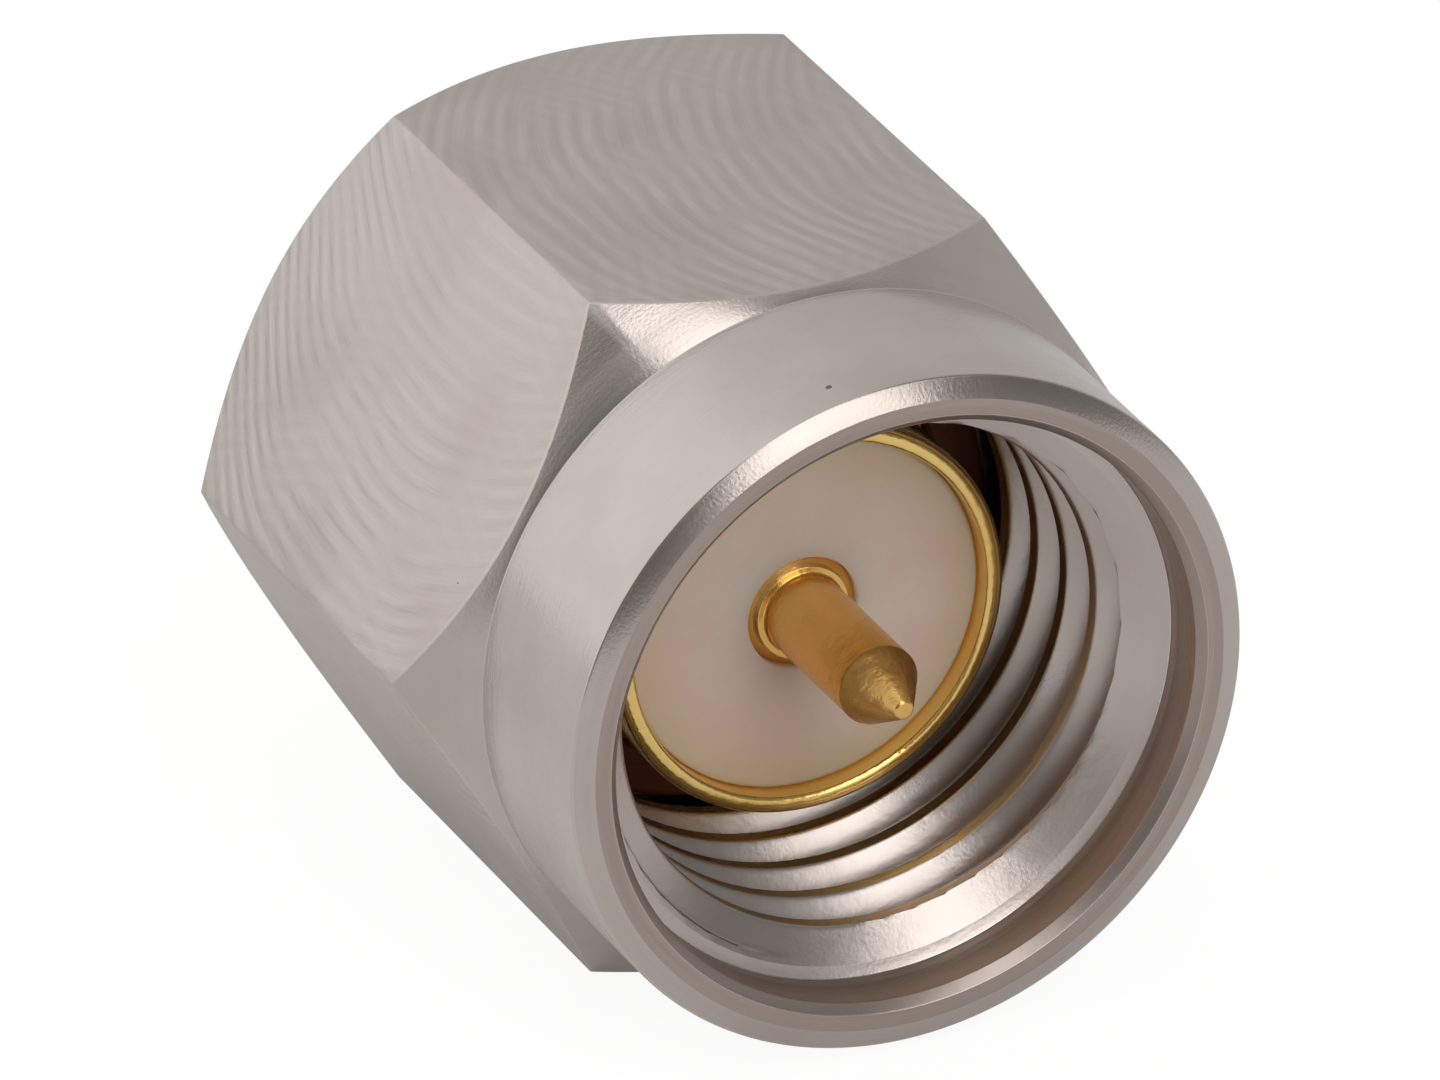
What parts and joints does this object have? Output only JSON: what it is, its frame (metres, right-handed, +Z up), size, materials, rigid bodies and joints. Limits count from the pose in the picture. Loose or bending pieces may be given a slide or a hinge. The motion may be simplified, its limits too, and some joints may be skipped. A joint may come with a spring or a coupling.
{
  "type": "sma connector",
  "caption": "Straight SMA plug for semi-rigid coaxial cable: hexagonal coupling nut that turns on a gold-plated body with a captive centre pin.",
  "frame": {"origin": "on the connector's axis at the mating reference plane, the front rim of the outer contact", "axes": "-Y points out of the mouth along the axis, +Y towards the cable, +Z up, with two flats of the hexagon level"},
  "size_m": [0.0092, 0.0105, 0.008],
  "materials": {
    "nut_steel": "passivated stainless steel, milled flats and turned collar",
    "ring_spring": "plain spring bronze",
    "gasket_rubber": "dark red-brown silicone rubber",
    "body_gold": "gold plated, bright",
    "insulator_white": "translucent white fluoropolymer",
    "contact_gold": "gold plated, satin"
  },
  "bodies": {
    "plug_body": {"body": "body_gold", "retaining_ring": "ring_spring", "gasket": "gasket_rubber", "front_insulator": "insulator_white", "rear_insulator": "insulator_white", "centre_contact": "contact_gold"},
    "nut": {"coupling_nut": "nut_steel"}
  },
  "joints": [
    {"name": "nut_turn", "type": "hinge", "parent": "plug_body", "child": "nut", "pos_m": [0, 0, 0], "axis": [0, -1, 0], "continuous": true}
  ]
}
